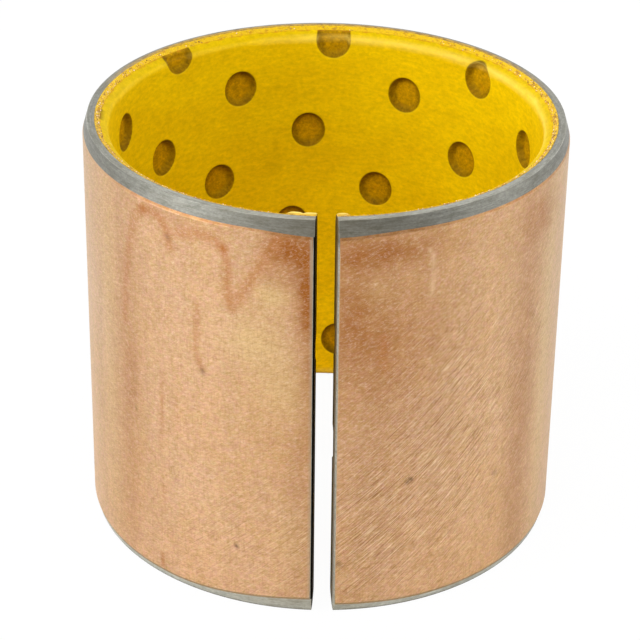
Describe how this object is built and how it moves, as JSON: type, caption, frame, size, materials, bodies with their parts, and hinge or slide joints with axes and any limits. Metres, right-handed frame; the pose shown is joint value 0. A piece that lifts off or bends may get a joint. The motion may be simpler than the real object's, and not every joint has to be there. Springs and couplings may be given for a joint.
{
  "type": "wrapped sleeve bearing",
  "caption": "Rolled, split sleeve bearing: copper-flashed steel outside, sintered bronze, and a yellow acetal bore with staggered grease indents.",
  "frame": {"origin": "on the bearing's axis, in the plane of the foot end face it stands on", "axes": "+Z along the bearing's axis, from the foot end up to the end with the longer outer chamfer; the slit faces -Y"},
  "size_m": [0.028, 0.028, 0.025],
  "materials": {
    "steel": "turned",
    "copper": "satin",
    "bronze": "sintered",
    "acetal": "matt"
  },
  "bodies": {
    "root": {"steel_backing": "steel", "copper_plating": "copper", "bronze_interlayer": "bronze", "acetal_lining": "acetal"}
  },
  "joints": []
}
